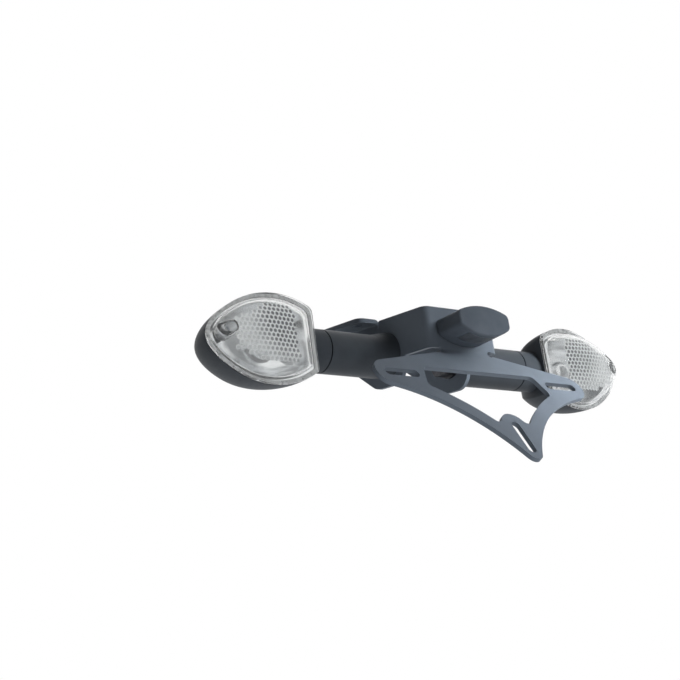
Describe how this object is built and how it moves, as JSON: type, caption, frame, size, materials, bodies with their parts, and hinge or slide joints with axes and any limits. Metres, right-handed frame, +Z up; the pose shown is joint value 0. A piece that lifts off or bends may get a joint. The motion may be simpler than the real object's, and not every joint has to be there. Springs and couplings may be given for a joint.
{
  "type": "motorbike tail tidy",
  "caption": "Folded steel tail tidy with a slotted number-plate hanger, a plate light and clear-lensed indicators on round arms, bolted up by two ears.",
  "frame": {"origin": "middle of the four ear holes, on the ears' top face", "axes": "+X to the bike's right, +Y forward, +Z up; the number-plate hanger points to -Y and down"},
  "size_m": [0.369, 0.1583, 0.1173],
  "materials": {
    "bracket_coat": "satin powder coat",
    "arm_black": "satin moulded",
    "shell_black": "fine-grained moulded",
    "clear_lens": "clear moulded",
    "reflector_silver": "metallised",
    "holder_grey": "moulded",
    "bulb_glass": "tinted glass",
    "board_green": "solder mask",
    "plated_steel": "zinc plated",
    "rubber_grey": "moulded silicone",
    "rubber_black": "moulded rubber"
  },
  "bodies": {
    "root": {"main_bracket": "bracket_coat", "left_arm": "arm_black", "right_arm": "arm_black", "left_arm_stud": "plated_steel", "right_arm_stud": "plated_steel", "left_arm_washer": "plated_steel", "right_arm_washer": "plated_steel", "left_arm_nut": "plated_steel", "right_arm_nut": "plated_steel", "left_indicator_housing": "shell_black", "right_indicator_housing": "shell_black", "left_indicator_lens": "clear_lens", "right_indicator_lens": "clear_lens", "left_lens_gasket": "rubber_grey", "right_lens_gasket": "rubber_grey", "left_lens_screw": "plated_steel", "right_lens_screw": "plated_steel", "left_reflector": "reflector_silver", "right_reflector": "reflector_silver", "left_bulb_holder": "holder_grey", "right_bulb_holder": "holder_grey", "left_bulb": "bulb_glass", "right_bulb": "bulb_glass", "plate_light_housing": "shell_black", "plate_light_lens": "clear_lens", "plate_light_board": "board_green", "plate_light_gasket": "rubber_black", "plate_light_screws": "plated_steel", "plate_light_washers": "plated_steel", "cable_grommet": "rubber_black"}
  },
  "joints": []
}
